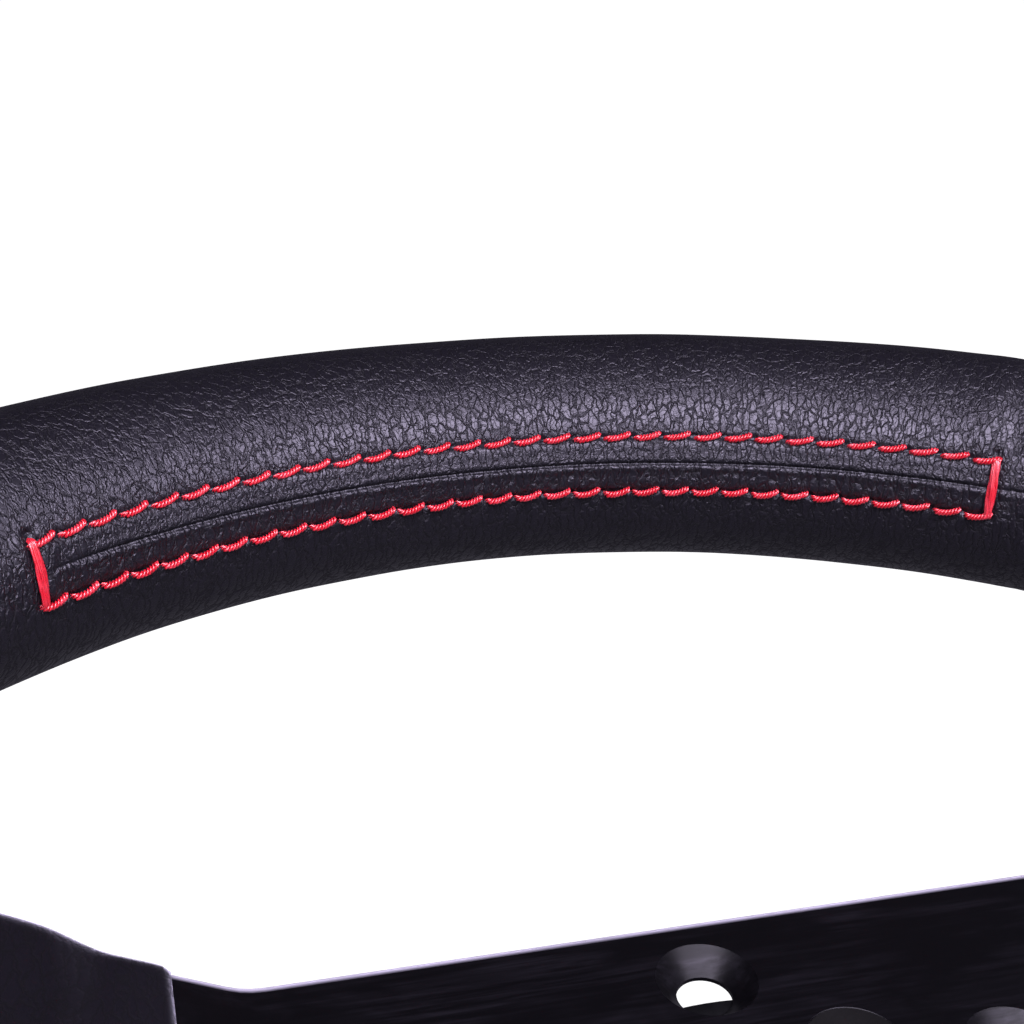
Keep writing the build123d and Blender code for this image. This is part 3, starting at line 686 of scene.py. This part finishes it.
# ---------------------------------------------------------------- thread
PLY_R, PLY_OFFSET, PLY_SIDES, TWIST = 0.245, 0.28, 8, 1.5
TAPER_START, TAPER_RATE = 0.45, 4.4  # each ply is thinner at its ends
STITCH_L = 4.35
TACK_PLY_R, TACK_PLY_OFFSET, TACK_TWIST = 0.17, 0.10, 11.0
TACK_STRANDS, TACK_STRAND_GAP, TACK_OVERHANG = 4, 0.37, 0.75


def surface(s, w, height):
    """A point over the leather: s along the rim, w round it from the seam, and a height out of it."""
    centre, out, _ = rim_frame(s)
    r = grip_radius(s)
    a = SEAM + w / r
    way = out * cos(a) + Vector((0, 0, sin(a)))
    return centre + way * (r + height)


def twisted(path, plies, points, faces, phase=0.0, ply_r=PLY_R, offset=PLY_OFFSET, twist=TWIST):
    """Adds a thread of several plies that wind round a path of closely spaced points."""
    for ply in range(plies):
        start = len(points)
        run = 0.0
        for k, p in enumerate(path):
            if k:
                run += (p - path[k - 1]).length
            way = (path[min(k + 1, len(path) - 1)] - path[max(k - 1, 0)]).normalized()
            side = way.orthogonal() if k == 0 else (side - way * side.dot(way))
            side.normalize()
            other = way.cross(side)
            turn = phase - 2 * pi * (run / twist + ply / plies)
            end = min(1.0, TAPER_START + TAPER_RATE * min(k, len(path) - 1 - k) / len(path))
            centre = p + (side * cos(turn) + other * sin(turn)) * offset
            for j in range(PLY_SIDES):
                a = 2 * pi * j / PLY_SIDES
                points.append(centre + (side * cos(a) + other * sin(a)) * ply_r * end)
        rings = len(path)
        faces += grid_faces(rings, PLY_SIDES, start)
        faces.append(tuple(start + j for j in range(PLY_SIDES))[::-1])
        faces.append(tuple(start + (rings - 1) * PLY_SIDES + j for j in range(PLY_SIDES)))


def stitch_path(s, w, rough):
    """One stitch: out of its hole at the lower left, then rising towards the next hole at the upper right."""
    path, steps = [], 34
    for k in range(steps + 1):
        u = k / steps
        along = (u - 0.5) * STITCH_L
        rise = 0.30 - 0.90 * u**2.6 + rough * 0.12
        arch = 0.42 * (sin(pi * u) ** 0.5)
        over = arch - 0.55 * (1 - smooth(0.0, 0.12, u)) - 0.75 * smooth(0.91, 1.0, u)
        path.append(surface(s + along, w + rise, over))
    return path


def declare_thread(piece, node):
    """Sets what every thread piece has in common, and hides the CAD node that it stands for."""
    outwards(piece)
    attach(piece, "wheel")
    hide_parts(node)


def thread_row(name, w, node):
    """One row of stitches, w from the seam."""
    points, faces = [], []
    for i in range(STITCHES):
        rough = noise.noise(Vector((i * 1.7, w, 0.3)))
        s = STITCH_FIRST + i * STITCH_PITCH + 0.12 * rough
        twisted(stitch_path(s, w, rough), 3, points, faces, phase=i * 1.1)
    declare_thread(mesh_piece(name, points, faces, THREAD), node)


thread_row("thread_row_outer_twisted", -ROW_OUT, "thread_row_outer")
thread_row("thread_row_inner_twisted", ROW_IN, "thread_row_inner")


def bar_tack(name, s0, node):
    """Strands side by side across the seam, pulled into a needle hole at each end."""
    points, faces = [], []
    steps, half = 60, (ROW_IN + ROW_OUT) / 2 + TACK_OVERHANG
    for strand in range(TACK_STRANDS):
        path = []
        for k in range(steps + 1):
            u = 2 * k / steps - 1
            spread = TACK_STRAND_GAP * (0.62 + 0.38 * (1 - u * u))
            side = (strand - (TACK_STRANDS - 1) / 2) * spread + 0.06 * noise.noise(Vector((u * 2, strand, 1)))
            over = 0.30 + 0.22 * (strand in (1, 2)) - 0.9 * smooth(0.86, 1.0, abs(u))
            path.append(surface(s0 + side, (ROW_IN - ROW_OUT) / 2 + u * half, over))
        twisted(path, 2, points, faces, strand, TACK_PLY_R, TACK_PLY_OFFSET, TACK_TWIST)
    declare_thread(mesh_piece(name, points, faces, THREAD), node)


bar_tack("bar_tack_left_strands", TACK_LEFT, "bar_tack_left")
bar_tack("bar_tack_right_strands", TACK_RIGHT, "bar_tack_right")

# ---------------------------------------------------------------- floor, light and camera
FLOOR_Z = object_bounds()[0][2]


def stage_piece(name, points, faces, material):
    data = bpy.data.meshes.new(name)
    data.from_pydata(points, [], faces)
    data.materials.append(material)
    made = bpy.data.objects.new(name, data)
    made.visible_glossy = False
    made.visible_diffuse = False
    bpy.context.scene.collection.objects.link(made)
    return made


def pale_stage():
    """A pale floor, and a round wall of the same colour far behind it."""
    material, _, shader = new_material("floor")
    shader.inputs["Base Color"].default_value = (0.10, 0.10, 0.10, 1)
    shader.inputs["Roughness"].default_value = 0.9
    shader.inputs["Specular IOR Level"].default_value = 0.0
    shader.inputs["Emission Color"].default_value = (1, 1, 1, 1)
    shader.inputs["Emission Strength"].default_value = 1.0
    size, radius, high, turns = 6.0, 5.4, 5.0, 64
    corners = [(x * size, y * size, FLOOR_Z) for x, y in ((-1, -1), (1, -1), (1, 1), (-1, 1))]
    stage_piece("floor", corners, [(0, 1, 2, 3)], material)
    ring = [(radius * cos(2 * pi * i / turns), radius * sin(2 * pi * i / turns)) for i in range(turns)]
    wall = [(*p, FLOOR_Z) for p in ring] + [(*p, high) for p in ring]
    stage_piece("backdrop", wall, grid_faces(2, turns), material).visible_shadow = False


def softbox(name, place, target, size, radiance, colour):
    """A rectangle of even light. radiance is how bright it looks."""
    light = bpy.data.lights.new(name, "AREA")
    light.shape, light.size, light.size_y = "RECTANGLE", size[0], size[1]
    light.energy, light.color = radiance * pi * size[0] * size[1], colour
    made = bpy.data.objects.new(name, light)
    made.location = place
    made.rotation_euler = (Vector(target) - Vector(place)).to_track_quat("-Z", "Y").to_euler()
    bpy.context.scene.collection.objects.link(made)
    return made


def studio_world():
    """Dim surroundings: dark overhead and behind, and paler below, where the floor would be seen."""
    world = bpy.data.worlds.new("studio")
    bpy.context.scene.world = world
    world.use_nodes = True
    g = Graph(world.node_tree)
    height = g.node("SeparateXYZ", {0: g.node("TexCoord").outputs["Generated"]}).outputs[2]
    colour = g.mix(g.remap(height, -0.35, 0.15), (0.17, 0.16, 0.20), (0.008, 0.0075, 0.010))
    g.link(colour, world.node_tree.nodes["Background"].inputs[0])


pale_stage()
studio_world()
RIM_TOP = (0.0, 0.132, 0.029)
LAVENDER = (0.90, 0.84, 1.0)
softbox("overhead", (0.02, -0.31, 0.585), RIM_TOP, (1.1, 0.34), 15.5, LAVENDER)
softbox("front_fill", (0.10, -0.95, 0.35), RIM_TOP, (0.9, 0.35), 1.6, LAVENDER)

# the viewing angle: from above the wheel's lower half, over the plate, at the top of the rim
CAMERA_AT = (-64.7, -97.35, 126.4)
YAW, PITCH, ROLL = radians(16.26), radians(-25.10), radians(2.69)
LENS = 56.25
ahead = Vector((sin(YAW) * cos(PITCH), cos(YAW) * cos(PITCH), sin(PITCH)))
right = Vector((cos(YAW), -sin(YAW), 0))
up = right.cross(ahead)
camera_data = bpy.data.cameras.new("camera")
camera_data.lens, camera_data.sensor_width, camera_data.clip_start = LENS, 36.0, 0.01
camera = bpy.data.objects.new("camera", camera_data)
x_way = right * cos(ROLL) + up * sin(ROLL)
y_way = up * cos(ROLL) - right * sin(ROLL)
turned = Matrix((x_way, y_way, -ahead)).transposed().to_4x4()
turned.translation = mm(CAMERA_AT)
camera.matrix_world = turned
bpy.context.scene.collection.objects.link(camera)
bpy.context.scene.camera = camera
bpy.context.scene.view_settings.view_transform = "Standard"
